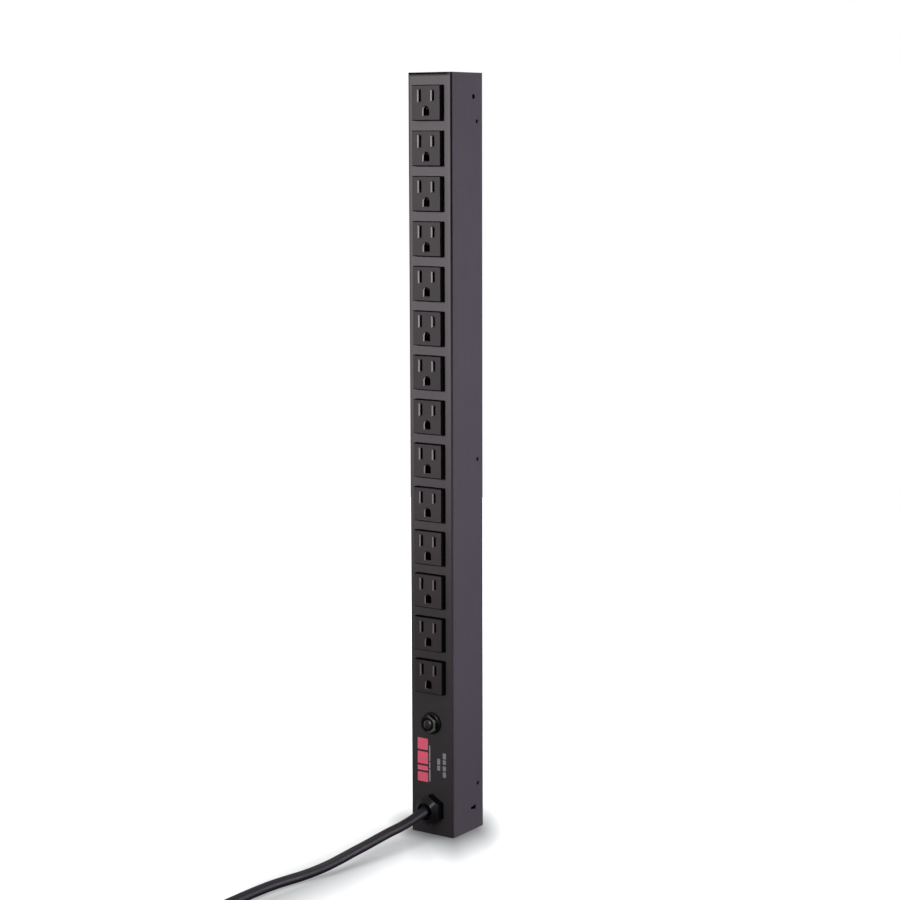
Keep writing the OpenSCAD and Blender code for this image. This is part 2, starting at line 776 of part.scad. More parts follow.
// The moulded body: narrower and lower towards the cord, with a square face
module plug_body() {
    w = plug_half_w;
    h = plug_half_h;
    shoulder_y = plug_rear_y + 14;
    color("#17171a") translate([hank_x, 0, plug_z]) intersection() {
        prism_z([[-6, plug_rear_y], [6, plug_rear_y], [w, shoulder_y], [w, plug_face_y], [-w, plug_face_y],
            [-w, shoulder_y]], -h, h);
        prism_x([[plug_rear_y, -6], [shoulder_y, -h], [plug_face_y, -h], [plug_face_y, h], [shoulder_y, h],
            [plug_rear_y, 6]], -w, w);
    }
}

// The tapered sleeve with its flexing grooves
module plug_strain_relief() {
    length = plug_rear_y - relief_rear_y;
    grooves = 5;
    color("#17171a") difference() {
        cone_y(hank_x, plug_z, relief_rear_y, plug_rear_y, cord_d + 2, cord_d + 5.6);
        for (k = [1:grooves]) let (y = relief_rear_y + k * length / (grooves + 1))
            translate([hank_x, y, plug_z]) rotate([-90, 0, 0]) difference() {
                cylinder(h = 1.6, d = 20);
                translate([0, 0, -1]) cylinder(h = 4, d = cord_d + 1.4);
            }
        rod_y(hank_x, plug_z, relief_rear_y - 1, plug_rear_y + 1, cord_d);
    }
}

module blade(side) {
    z = plug_z + side * blade_offset;
    color("#c9b98a") block([blade_x - blade_w / 2, plug_face_y, z - blade_t / 2],
        [blade_x + blade_w / 2, plug_face_y + blade_len, z + blade_t / 2]);
}

module plug_line_blade() {
    blade(-1);
}

module plug_neutral_blade() {
    blade(1);
}

module plug_ground_pin() {
    x = blade_x + pin_drop;
    y1 = plug_face_y + pin_len;
    color("#c9b98a") {
        rod_y(x, plug_z, plug_face_y, y1 - 1.6 + eps, pin_d);
        cone_y(x, plug_z, y1 - 1.6, y1, pin_d, pin_d - 2);
    }
}

for (i = [0:outlet_count - 1])
    outlet(i);
front_housing();
rear_cover();
top_end_plate();
bottom_end_plate();
cover_screws();
outlet_rear_caps();
line_contacts();
neutral_contacts();
ground_contacts();
line_bus_bar();
neutral_bus_bar();
ground_bus_bar();
insulating_sheet();
breaker_body();
breaker_cap();
breaker_bushing();
breaker_bezel();
breaker_nut();
breaker_button();
breaker_spring();
breaker_bimetal();
breaker_terminals();
gland_body();
gland_nut();
gland_seal();
gland_locknut();
line_supply_lead();
line_load_lead();
neutral_lead();
ground_lead();
ground_jumper();
crimp_terminals();
ground_stud();
ground_nut();
cord_lead();
cord_hank();
cord_tail();
hank_ties();
plug_body();
plug_strain_relief();
plug_line_blade();
plug_neutral_blade();
plug_ground_pin();
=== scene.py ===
"""Looks of the rack power strip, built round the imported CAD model.

Metres, in the CAD's own frame. Profiles, sections and the cord's route are in millimetres.
"""

import json
import math

import bmesh
import bpy
from mathutils import Matrix, Vector


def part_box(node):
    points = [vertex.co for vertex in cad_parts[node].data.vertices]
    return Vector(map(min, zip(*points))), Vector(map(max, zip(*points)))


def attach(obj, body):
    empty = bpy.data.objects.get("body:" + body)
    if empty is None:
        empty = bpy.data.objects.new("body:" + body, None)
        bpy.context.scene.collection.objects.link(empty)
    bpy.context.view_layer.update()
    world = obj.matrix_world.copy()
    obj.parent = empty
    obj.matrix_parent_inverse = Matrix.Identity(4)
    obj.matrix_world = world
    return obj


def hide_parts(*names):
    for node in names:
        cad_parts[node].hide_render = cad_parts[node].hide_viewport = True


MM = 0.001
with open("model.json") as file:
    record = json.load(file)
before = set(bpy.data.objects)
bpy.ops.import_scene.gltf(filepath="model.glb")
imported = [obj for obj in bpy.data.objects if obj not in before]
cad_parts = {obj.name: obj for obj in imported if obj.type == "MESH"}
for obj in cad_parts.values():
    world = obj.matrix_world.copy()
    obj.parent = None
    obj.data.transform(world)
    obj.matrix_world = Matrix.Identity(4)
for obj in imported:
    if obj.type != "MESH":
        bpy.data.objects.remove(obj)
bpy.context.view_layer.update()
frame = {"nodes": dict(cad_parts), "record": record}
nodes = frame["nodes"]
scene = bpy.context.scene


def mm(x, y, z):
    return Vector((x, y, z)) * MM


def centre(node):
    low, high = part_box(node)
    return (low + high) / 2


# ---------------------------------------------------------------- camera

CAMERA_AT = (1.0138, -1.4658, 0.5720)
CAMERA_AZIMUTH = 34.5696
CAMERA_ELEVATION = 8.1018
CAMERA_ROLL = -0.1794
CAMERA_LENS = 88.36
SENSOR_WIDTH = 36


def add_camera():
    az, el, roll = (math.radians(a) for a in (CAMERA_AZIMUTH, CAMERA_ELEVATION, CAMERA_ROLL))
    back = Vector((math.sin(az) * math.cos(el), -math.cos(az) * math.cos(el), math.sin(el)))
    right = Vector((math.cos(az), math.sin(az), 0))
    up = back.cross(right)
    across = math.cos(roll) * right + math.sin(roll) * up
    rise = math.cos(roll) * up - math.sin(roll) * right
    data = bpy.data.cameras.new("camera")
    data.lens = CAMERA_LENS
    data.sensor_width = SENSOR_WIDTH
    data.clip_end = 30
    camera = bpy.data.objects.new("camera", data)
    camera.matrix_world = Matrix.Translation(CAMERA_AT) @ Matrix((across, rise, back)).transposed().to_4x4()
    scene.collection.objects.link(camera)
    scene.camera = camera


# ---------------------------------------------------------------- meshes

def new_object(name, mesh):
    obj = bpy.data.objects.new(name, mesh)
    scene.collection.objects.link(obj)
    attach(obj, "strip")
    return obj


def mesh_from(bm, name, outward=True):
    """Closes a bmesh and gives its mesh, with its faces turned outward unless they're right already."""
    if outward:
        bmesh.ops.recalc_face_normals(bm, faces=bm.faces)
    mesh = bpy.data.meshes.new(name)
    bm.to_mesh(mesh)
    bm.free()
    return mesh


def join_rings(bm, rings):
    """Joins each ring of vertices to the next one with a band of faces."""
    for a, b in zip(rings, rings[1:]):
        for k in range(len(a)):
            n = (k + 1) % len(a)
            bm.faces.new((a[k], a[n], b[n], b[k]))


def repaint(obj, material):
    obj.data.materials.clear()
    obj.data.materials.append(material)


def applied(obj):
    """Replaces an object's mesh by what its modifiers make of it."""
    bpy.context.view_layer.update()
    shown = obj.evaluated_get(bpy.context.evaluated_depsgraph_get())
    mesh = bpy.data.meshes.new_from_object(shown)
    obj.modifiers.clear()
    obj.data = mesh


def cleaned(node):
    """A copy of a CAD node's mesh with its flat faces joined up again."""
    bm = bmesh.new()
    bm.from_mesh(nodes[node].data)
    bmesh.ops.remove_doubles(bm, verts=bm.verts, dist=2e-6)
    bmesh.ops.dissolve_limit(bm, angle_limit=math.radians(0.6), verts=bm.verts, edges=bm.edges)
    mesh = mesh_from(bm, node, outward=False)
    mesh.materials.clear()
    return mesh


def weighted(obj):
    """Smooth shading whose normals lie flat on the large faces."""
    obj.data.shade_smooth()
    modifier = obj.modifiers.new("normals", "WEIGHTED_NORMAL")
    modifier.weight = 100
    modifier.keep_sharp = True


def rounded(name, mesh, width, segments=2, angle=28):
    """A piece whose sharp edges are rounded by width."""
    obj = new_object(name, mesh)
    bevel = obj.modifiers.new("bevel", "BEVEL")
    bevel.width = width
    bevel.segments = segments
    bevel.limit_method = "ANGLE"
    bevel.angle_limit = math.radians(angle)
    bevel.use_clamp_overlap = True
    weighted(obj)
    applied(obj)
    return obj


def placed(name, mesh, at):
    """A piece made round the origin, moved to its place in its own mesh."""
    mesh.transform(Matrix.Translation(at))
    obj = new_object(name, mesh)
    weighted(obj)
    applied(obj)
    return obj


def finish_piece(obj, material, *replaced, body="strip"):
    repaint(obj, material)
    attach(obj, body)
    for node in replaced:
        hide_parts(node)
    return obj


def lathe(profile, steps=96):
    """A mesh turned about +Y from (radius, y) points in millimetres; a radius of 0 closes it."""
    bm = bmesh.new()
    rings = []
    for radius, y in profile:
        if radius < 1e-6:
            rings.append([bm.verts.new(mm(0, y, 0))])
            continue
        turn = [2 * math.pi * k / steps for k in range(steps)]
        rings.append([bm.verts.new(mm(radius * math.cos(a), y, radius * math.sin(a))) for a in turn])
    for a, b in zip(rings, rings[1:]):
        for k in range(steps):
            n = (k + 1) % steps
            if len(a) == 1 and len(b) > 1:
                bm.faces.new((a[0], b[n], b[k]))
            elif len(b) == 1 and len(a) > 1:
                bm.faces.new((a[k], a[n], b[0]))
            elif len(a) > 1:
                bm.faces.new((a[k], a[n], b[n], b[k]))
    return mesh_from(bm, "lathe")


def rounded_profile(points, radius=0.3, steps=3):
    """A lathe profile with its corners rounded: points of (radius, y), or (radius, y, corner radius)."""
    out = []
    for i, point in enumerate(points):
        r = point[2] if len(point) > 2 else radius
        here = Vector(point[:2])
        if i in (0, len(points) - 1) or r <= 0:
            out.append(tuple(here))
            continue
        before, after = Vector(points[i - 1][:2]) - here, Vector(points[i + 1][:2]) - here
        r = min(r, before.length * 0.45, after.length * 0.45)
        a, b = here + before.normalized() * r, here + after.normalized() * r
        for k in range(steps + 1):
            t = k / steps
            out.append(tuple((1 - t) ** 2 * a + 2 * t * (1 - t) * here + t ** 2 * b))
    return out


def catmull(points, per_segment):
    """A smooth curve through the points."""
    p = [Vector(q) for q in points]
    out = []
    for i in range(len(p) - 1):
        a, b, c, d = p[max(i - 1, 0)], p[i], p[i + 1], p[min(i + 2, len(p) - 1)]
        for k in range(per_segment):
            t = k / per_segment
            out.append(0.5 * (2 * b + (c - a) * t + (2 * a - 5 * b + 4 * c - d) * t * t
                              + (3 * b - 3 * c + d - a) * t ** 3))
    out.append(p[-1])
    return out


def evenly(path, step):
    """The same path with its points step apart."""
    out, carried = [path[0].copy()], 0.0
    for a, b in zip(path, path[1:]):
        length = (b - a).length
        while length > 1e-9 and carried + length >= step:
            t = (step - carried) / length
            a = a.lerp(b, t)
            out.append(a.copy())
            length = (b - a).length
            carried = 0.0
        carried += length
    if (out[-1] - path[-1]).length < 0.3 * step:
        out.pop()
    out.append(path[-1].copy())
    return out


def tube(path, r, sides):
    """A tube along the path with frames that don't twist. Its UVs are metres round it and along it."""
    bm = bmesh.new()
    uv = bm.loops.layers.uv.new("UVMap")
    n = len(path)
    along = [(path[min(i + 1, n - 1)] - path[max(i - 1, 0)]).normalized() for i in range(n)]
    side = along[0].cross(Vector((0, 0, 1)))
    side = side.normalized() if side.length > 1e-3 else Vector((1, 0, 0))
    rings, length = [], [0.0]
    for i in range(n):
        side = (side - along[i] * side.dot(along[i])).normalized()
        other = along[i].cross(side)
        turn = [2 * math.pi * k / sides for k in range(sides)]
        rings.append([bm.verts.new(path[i] + r * (math.cos(a) * side + math.sin(a) * other)) for a in turn])
        if i:
            length.append(length[-1] + (path[i] - path[i - 1]).length)
    for i in range(n - 1):
        for k in range(sides):
            m = (k + 1) % sides
            face = bm.faces.new((rings[i][k], rings[i + 1][k], rings[i + 1][m], rings[i][m]))
            face.smooth = True
            for loop, (u, v) in zip(face.loops, ((k, i), (k, i + 1), (k + 1, i + 1), (k + 1, i))):
                loop[uv].uv = (u / sides * 2 * math.pi * r, length[v])
    for ring in (rings[0], rings[-1]):
        bm.faces.new(ring)
    return mesh_from(bm, "tube")


# ---------------------------------------------------------------- the cord, in millimetres

CORD_D = 8
CORD_ROUTE = [
    (0, -10, 22), (0, -20, 22), (0, -33, 22), (0, -45, 20.5), (0, -56, 19), (0, -68, 18), (-1, -80, 17),
    (-2, -94, 15.5), (-3.5, -108, 13.5), (-5.5, -122, 11.5), (-7.5, -135, 9.4), (-10, -148, 7.2),
    (-13.5, -161, 5.3), (-17, -175, 4.3), (-20, -188, 4.1), (-22.4, -202, 4.1), (-23.6, -218, 4.1),
    (-24, -240, 4.1), (-24, -270, 4.1), (-24, -310, 4.1), (-24, -345, 4.1), (-24, -370, 4.1),
]
TAIL_ROUTE = [
    (32, -496, 4.1), (31.2, -488, 4.2), (28.4, -478, 5), (24, -469, 6.6), (18, -461, 8.8), (12, -452, 11),
    (8.8, -445, 12), (8, -438, 12), (8, -426, 12), (8, -414.5, 12),
]
HANK_X, HANK_NEAR_Y, HANK_RUN, HANK_LAYERS = 8, -370, 126, 4
HANK_INNER_R, HANK_OUTER_R = 24, 32
RUN_POINTS, FOLD_POINTS = 12, 24
CORD_STEP, CORD_SIDES = 2.5, 20
TIE_Y = -398


def hank_route():
    """The hank's turns: the outer ones wind up layer by layer, the inner ones come down again."""
    points = []
    y0, y1 = HANK_NEAR_Y, HANK_NEAR_Y - HANK_RUN
    level = CORD_D / 2

    def run(x, a, b, z):
        points.extend((x, a + (b - a) * k / RUN_POINTS, z) for k in range(RUN_POINTS))

    def fold(y, r0, r1, start, z0, z1, hump=0.0):
        for k in range(FOLD_POINTS):
            t = k / FOLD_POINTS
            u = t * t * (3 - 2 * t)
            angle = math.radians(start + 180 * t)
            r = r0 + (r1 - r0) * u
            rise = hump * math.sin(math.pi * t)
            points.append((HANK_X + r * math.cos(angle), y + r * math.sin(angle), z0 + (z1 - z0) * u + rise))

    def turn(r, z, next_r, next_z, hump=0.0):
        run(HANK_X - r, y0, y1, z)
        fold(y1, r, r, 180, z, z)
        run(HANK_X + r, y1, y0, z)
        fold(y0, r, next_r, 0, z, next_z, hump)

    for _ in range(HANK_LAYERS - 1):
        turn(HANK_OUTER_R, level, HANK_OUTER_R, level + CORD_D)
        level += CORD_D
    turn(HANK_OUTER_R, level, HANK_INNER_R, level, hump=3)
    for _ in range(HANK_LAYERS - 1):
        turn(HANK_INNER_R, level, HANK_INNER_R, level - CORD_D)
        level -= CORD_D
    run(HANK_X - HANK_INNER_R, y0, y1, level)
    fold(y1, HANK_INNER_R, HANK_INNER_R, 180, level, level)
    return points


def cord_path():
    lead = catmull(CORD_ROUTE, 8)
    hank = [Vector(p) for p in hank_route()][1:]
    tail = catmull(TAIL_ROUTE, 6)
    return evenly([p * MM for p in lead + hank + tail], CORD_STEP * MM)


def add_cord(material, plug_pieces):
    path = cord_path()
    mesh = tube(path, CORD_D / 2 * MM, CORD_SIDES)
    cord = finish_piece(new_object("mains_cord", mesh), material, "cord_lead", "cord_hank", "cord_tail")


# ---------------------------------------------------------------- materials

class Paint:
    """Builds the nodes of one material. Sizes of texture are in metres, in the object's own space."""

    def __init__(self, name, colour, roughness, metallic=0.0, specular=0.5):
        self.material = bpy.data.materials.new(name)
        self.material.use_nodes = True
        self.nodes = self.material.node_tree.nodes
        self.nodes.clear()
        self.shader = self.add("ShaderNodeBsdfPrincipled")
        out = self.add("ShaderNodeOutputMaterial")
        self.link(self.shader.outputs["BSDF"], out.inputs["Surface"])
        self.place = self.add("ShaderNodeTexCoord").outputs
        self.set("Metallic", metallic)
        self.set("Specular IOR Level", specular)
        self.set("Base Color", (*colour, 1))
        self.set("Roughness", roughness)
        self.colour = (*colour, 1)
        self.normal = None

    def add(self, kind, **settings):
        node = self.nodes.new(kind)
        for key, value in settings.items():
            setattr(node, key, value)
        return node

    def link(self, a, b):
        self.material.node_tree.links.new(a, b)

    def put(self, socket, value):
        if isinstance(value, bpy.types.NodeSocket):
            self.link(value, socket)
        else:
            socket.default_value = value

    def set(self, name, value):
        self.put(self.shader.inputs[name], value)

    def noise(self, size, detail=2.0, rough=0.5, stretch=(1, 1, 1), space="Object"):
        """Noise whose features are about size wide, drawn out along an axis where stretch is above 1."""
        mapping = self.add("ShaderNodeMapping")
        mapping.inputs["Scale"].default_value = [1 / s for s in stretch]
        self.link(self.place[space], mapping.inputs["Vector"])
        node = self.add("ShaderNodeTexNoise")
        self.link(mapping.outputs["Vector"], node.inputs["Vector"])
        self.put(node.inputs["Scale"], 1 / size)
        self.put(node.inputs["Detail"], detail)
        self.put(node.inputs["Roughness"], rough)
        return node.outputs["Fac"]

    def spread(self, value, low, high, to_low=0.0, to_high=1.0):
        """Maps low and high to to_low and to_high, and holds the value there beyond them."""
        node = self.add("ShaderNodeMapRange", clamp=True)
        self.put(node.inputs["Value"], value)
        for name, number in (("From Min", low), ("From Max", high), ("To Min", to_low), ("To Max", to_high)):
            self.put(node.inputs[name], number)
        return node.outputs["Result"]

    def axis(self, name, space="Object"):
        """One of X, Y and Z of the place on the piece, or of its surface's direction."""
        node = self.add("ShaderNodeSeparateXYZ")
        self.link(self.place[space], node.inputs[0])
        return node.outputs[name]

    def math(self, operation, a, b=0.0):
        node = self.add("ShaderNodeMath", operation=operation)
        self.put(node.inputs[0], a)
        self.put(node.inputs[1], b)
        return node.outputs["Value"]

    def vector(self, operation, a, b, output="Vector"):
        node = self.add("ShaderNodeVectorMath", operation=operation)
        self.put(node.inputs[0], a)
        self.put(node.inputs[1], b)
        return node.outputs[output]

    def moved(self, place, turn=0.0, scale=(1, 1, 1)):
        """A place turned about Z after it's scaled."""
        node = self.add("ShaderNodeMapping")
        node.inputs["Scale"].default_value = scale
        node.inputs["Rotation"].default_value = (0, 0, turn)
        self.link(place, node.inputs["Vector"])
        return node.outputs["Vector"]

    def tint(self, amount, colour):
        """Blends the colour so far towards another one."""
        node = self.add("ShaderNodeMix", data_type="RGBA")
        a, b = (socket for socket in node.inputs if socket.type == "RGBA")
        self.put(node.inputs["Factor"], amount)
        self.put(a, self.colour)
        self.put(b, (*colour, 1))
        self.colour = next(socket for socket in node.outputs if socket.type == "RGBA")
        self.set("Base Color", self.colour)

    def bump(self, height, depth, strength=1.0):
        node = self.add("ShaderNodeBump")
        self.put(node.inputs["Height"], height)
        self.put(node.inputs["Strength"], strength)
        self.put(node.inputs["Distance"], depth)
        if self.normal is not None:
            self.link(self.normal, node.inputs["Normal"])
        self.normal = node.outputs["Normal"]
        self.link(self.normal, self.shader.inputs["Normal"])

    def edges(self, width):
        """1 along convex and concave edges, fading out over width."""
        bevel = self.add("ShaderNodeBevel", samples=6)
        self.put(bevel.inputs["Radius"], width)
        flat = self.add("ShaderNodeNewGeometry").outputs["Normal"]
        alike = self.vector("DOT_PRODUCT", bevel.outputs["Normal"], flat, "Value")
        return self.spread(self.math("SUBTRACT", 1.0, alike), 0.02, 0.22)


def shade(colour, factor):
    return tuple(min(1.0, c * factor) for c in colour)


def powder_coat(name, colour, roughness):
    """Fine-textured paint. Painted shade darkens its folds and top rim, and a painted highlight makes the
    front's right edge paler.
    """
    p = Paint(name, colour, roughness, specular=COAT_SPECULAR)
    cloud = p.noise(0.045, 3)
    p.tint(p.spread(cloud, 0.35, 0.7, 0.0, 0.5), shade(colour, 1.16))
    speck = p.noise(0.0007, 1)
    p.tint(p.spread(speck, 0.62, 0.72, 0.0, 0.4), shade(colour, 1.8))
    p.tint(p.spread(speck, 0.36, 0.3, 0.0, 0.5), shade(colour, 0.5))
    rub = p.noise(0.006, 4, 0.6, stretch=(1, 1, 6))
    wear = p.math("MULTIPLY", p.edges(0.0006), p.spread(rub, 0.55, 0.8, 0.0, 0.35))
    p.tint(wear, shade(colour, 1.8))
    across, facing = p.axis("X", "Normal"), p.axis("Y", "Normal")
    front = p.spread(facing, -0.8, -0.95)
    fold = p.math("MULTIPLY", p.math("ABSOLUTE", across), facing)
    higher = p.spread(p.axis("Z"), 0.15, 0.5, 0.25, 0.95)
    # Painted shade: a dark, less glossy line along the folds, stronger higher up, and along the front's top
    # rim.
    fold_shade = p.math("MULTIPLY", p.spread(fold, -0.06, -0.26), higher)
    top = HOUSING_HIGH.z
    rim = p.math("MULTIPLY", p.spread(p.axis("Z"), top - 3.4 * MM, top - 1.2 * MM), front)
    unlit = p.math("MAXIMUM", fold_shade, rim)
    p.tint(unlit, shade(colour, 0.03))
    p.set("Specular IOR Level", p.spread(unlit, 0.0, 1.0, COAT_SPECULAR, 0.02))
    # Painted highlight: the front is paler in a band beside its right fold, more so higher up.
    beside_fold = p.spread(p.axis("X"), 16.8 * MM, 18.5 * MM)
    band = p.math("MULTIPLY", beside_fold, p.spread(p.axis("Z"), 0.2, 0.5, 0.0, 0.5))
    p.tint(p.math("MULTIPLY", band, front), shade(colour, 1.3))
    handled = p.noise(0.02, 4, 0.65, stretch=(1, 1, 2.5))
    p.set("Roughness", p.spread(handled, 0.3, 0.7, roughness - 0.05, roughness + 0.07))
    p.bump(p.noise(0.0011, 2), 0.00006, 0.5)
    p.bump(p.noise(0.00035, 1), 0.00002, 0.5)
    return p.material


def moulded(name, colour, roughness, grain=0.00035, depth=0.00002, specular=0.5, dusty=0.25, painted_light=None):
    """Moulded plastic. paler is an axis, two places along it in metres, and the colour beyond the second.

    That colour stands in for the light that the photo shows there, so it isn't wear or the plastic's own.
    """
    p = Paint(name, colour, roughness, specular=specular)
    flow = p.noise(0.012, 3, 0.5, stretch=(1, 1, 2))
    p.tint(p.spread(flow, 0.35, 0.7, 0.0, 0.4), shade(colour, 1.25))
    dust = p.noise(0.0015, 4, 0.7)
    p.tint(p.spread(dust, 0.66, 0.78, 0.0, dusty), shade(colour, 3))
    # Painted highlight: the edges are painted paler.
    p.tint(p.math("MULTIPLY", p.edges(0.0004), 0.25), shade(colour, 2.4))
    if painted_light:
        axis, start, end, pale = painted_light
        p.tint(p.spread(p.axis(axis), start, end), pale)
    p.set("Roughness", p.spread(p.noise(0.006, 3), 0.3, 0.7, roughness - 0.04, roughness + 0.06))
    p.bump(p.noise(grain, 2), depth, 0.6)
    return p.material


def metal(name, colour, roughness, dark=0.5, brushed=(1, 1, 1)):
    """Metal with duller patches, brighter edges and fine lines along the axis where brushed is above 1."""
    p = Paint(name, colour, roughness, metallic=1.0)
    p.tint(p.spread(p.noise(0.004, 4, 0.6), 0.45, 0.75, 0.0, 0.5), shade(colour, dark))
    p.tint(p.math("MULTIPLY", p.edges(0.0003), 0.4), shade(colour, 1.5))
    lines = p.noise(0.0003, 2, 0.5, stretch=brushed)
    p.set("Roughness", p.spread(lines, 0.3, 0.7, roughness - 0.06, roughness + 0.1))
    p.bump(lines, 0.00001, 0.4)
    return p.material


def jacket(name, colour, roughness):
    """Extruded cord jacket: faint lines along it, scuffs and a little dust."""
    p = Paint(name, colour, roughness, specular=0.24)
    scuff = p.noise(0.004, 5, 0.7)
    p.tint(p.spread(scuff, 0.52, 0.75, 0.0, 0.35), shade(colour, 1.9))
    p.tint(p.spread(p.noise(0.0012, 4, 0.7), 0.64, 0.8, 0.0, 0.1), (0.1, 0.098, 0.095))
    p.set("Roughness", p.spread(scuff, 0.3, 0.7, roughness - 0.06, roughness + 0.08))
    p.bump(p.noise(0.0014, 2, 0.5, stretch=(1, 30, 1), space="UV"), 0.00004, 0.5)
    p.bump(p.noise(0.0005, 2), 0.00002, 0.5)
    return p.material


def contact_plating_and_glint():
    """Dark metal, painted pale at the top of each ground hole, where the photo shows a glint."""
    p = Paint("contact_plating_and_glint", (0.012, 0.011, 0.01), 0.4)
    first, last = centre(OUTLET_NODES[0]).z, centre(OUTLET_NODES[-1]).z
    pitch = (first - last) / (len(OUTLET_NODES) - 1)
    in_outlet = p.math("FRACT", p.math("DIVIDE", p.math("SUBTRACT", p.axis("Z"), last - pitch / 2), pitch))
    start, end = (0.5 - below * MM / pitch for below in GROUND_HOLE_PALE)
    lit = p.spread(in_outlet, start, end)
    # The painted glint is brightest in the top outlet's hole and faint in the lowest.
    p.tint(p.math("MULTIPLY", lit, p.spread(p.axis("Z"), last, first, 0.1, 1.0)), (0.95, 0.95, 0.93))
    p.set("Metallic", p.spread(lit, 0.0, 1.0, 1.0, 0.1))
    p.tint(p.spread(p.noise(0.002, 3), 0.5, 0.7, 0.0, 0.3), (0.1, 0.09, 0.07))
    p.bump(p.noise(0.0004, 2), 0.00001, 0.4)
    return p.material


def print_ink(name, colour, base):
    """Screen-printed ink, a little broken where the paint's texture stands through."""
    p = Paint(name, colour, 0.5, specular=0.4)
    p.tint(p.spread(p.noise(0.0006, 3, 0.7), 0.64, 0.72, 0.0, 0.8), base)
    p.tint(p.spread(p.noise(0.008, 3), 0.4, 0.7, 0.0, 0.3), shade(colour, 0.75))
    p.bump(p.noise(0.0011, 2), 0.00004, 0.4)
    return p.material


HOUSING_LOW, HOUSING_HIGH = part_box("front_housing")
OUTLET_NODES = sorted(name for name in nodes if name.startswith("outlet_") and name[-1].isdigit())
GROUND_HOLE_PALE = (5.1, 4.5)
COAT_SPECULAR = 0.2
STEEL = (0.036, 0.0312, 0.0345)
OUTLET = (0.0134, 0.0106, 0.0118)

MATERIALS = {
    "powder_coated_steel": powder_coat("powder_coated_steel", STEEL, 0.5),
    "black_zinc": metal("black_zinc", (0.02, 0.02, 0.021), 0.42, dark=0.4),
    # The outlets' faces get painted light, paler towards the bottom.
    "outlet_moulding": moulded("outlet_moulding", OUTLET, 0.5, grain=0.0005, depth=0.00003, specular=0.17,
                               painted_light=("Z", 0.37, 0.23, shade(OUTLET, 2.3))),
    "brass": metal("brass", (0.78, 0.6, 0.3), 0.28, dark=0.6, brushed=(1, 12, 1)),
    "copper": metal("copper", (0.8, 0.42, 0.26), 0.32, dark=0.55, brushed=(1, 1, 20)),
    "insulating_sheet": moulded("insulating_sheet", (0.62, 0.57, 0.42), 0.75, grain=0.0012, depth=0.00004),
    "breaker_moulding": moulded("breaker_moulding", (0.02, 0.02, 0.022), 0.42),
    "breaker_cap": moulded("breaker_cap", (0.12, 0.05, 0.025), 0.45),
    "plated_steel": metal("plated_steel", (0.62, 0.63, 0.65), 0.3, dark=0.6, brushed=(1, 1, 6)),
    "breaker_ring": moulded("breaker_ring", (0.002, 0.002, 0.002), 0.2, specular=0.3),
    # Painted highlight: the button is paler on its left side.
    "breaker_button": moulded("breaker_button", (0.012, 0.011, 0.013), 0.3,
                              painted_light=("X", -0.0018, -0.0036, (0.11, 0.10, 0.12))),
    "spring_steel": metal("spring_steel", (0.55, 0.56, 0.58), 0.25, dark=0.6),
    "gland_nylon": moulded("gland_nylon", (0.0012, 0.001, 0.0014), 0.3, grain=0.001, depth=0.00001,
                           specular=0.08, dusty=0.1),
    "seal_rubber": moulded("seal_rubber", (0.012, 0.012, 0.012), 0.6, specular=0.3),
    "black_insulation": moulded("black_insulation", (0.02, 0.02, 0.02), 0.4),
    "white_insulation": moulded("white_insulation", (0.75, 0.74, 0.7), 0.4),
    "green_insulation": moulded("green_insulation", (0.04, 0.26, 0.09), 0.4),
    "cord_jacket": jacket("cord_jacket", (0.0055, 0.0036, 0.0050), 0.5),
    "tie_nylon": moulded("tie_nylon", (0.012, 0.012, 0.013), 0.42, grain=0.0008, depth=0.00005),
    "plug_moulding": moulded("plug_moulding", (0.014, 0.014, 0.015), 0.48, grain=0.0006, depth=0.00004),
}
# Near black: painted shade on the outlets' sides and rims and on the walls of the housing's side holes.
OUTLET_SHADE = moulded("outlet_painted_shade", (0.0008, 0.0007, 0.0008), 0.7, specular=0.02)
# Painted highlight on the slots' lead-in chamfers.
SLOT_HIGHLIGHT = moulded("slot_painted_highlight", (0.18, 0.165, 0.172), 0.4, grain=0.0006)
# Cone and rim of the gland's nut: shinier, and painted paler than its nylon as painted light and painted
# highlight.
GLAND_CONE_LIT = moulded("gland_cone_lit", (0.0035, 0.0032, 0.0042), 0.24, grain=0.001, depth=0.00001,
                     specular=0.33)
GLAND_RIM_HIGHLIGHT = moulded("gland_rim_highlight", (0.03, 0.03, 0.032), 0.16, specular=1.0)
# Painted highlight: the nut's front faces are paler towards their right.
NUT_FACE_HIGHLIGHT = moulded("nut_face_highlight", (0.004, 0.004, 0.0035), 0.34, specular=0.22,
                   painted_light=("X", -0.002, 0.003, (0.085, 0.09, 0.075)))

SLOTS = {part["node"]: part["material_slot"] for part in frame["record"]["subparts"]}
for cad_node, cad_slot in SLOTS.items():
    repaint(nodes[cad_node], MATERIALS[cad_slot])


# ---------------------------------------------------------------- the strip

PANEL_Y = HOUSING_LOW.y
INK_T = 0.02 * MM
FOLD_R = 1.8 * MM
SHEET_EDGE = 0.22 * MM
OUTLET_RIM = 1.2 * MM


def from_cad(node, width, segments=2):
    """A CAD node's own shape with rounded edges, in its place."""
    slot = SLOTS[node]
    obj = rounded(node + "_look", cleaned(node), width, segments)
    finish_piece(obj, MATERIALS[slot], node)
    return obj


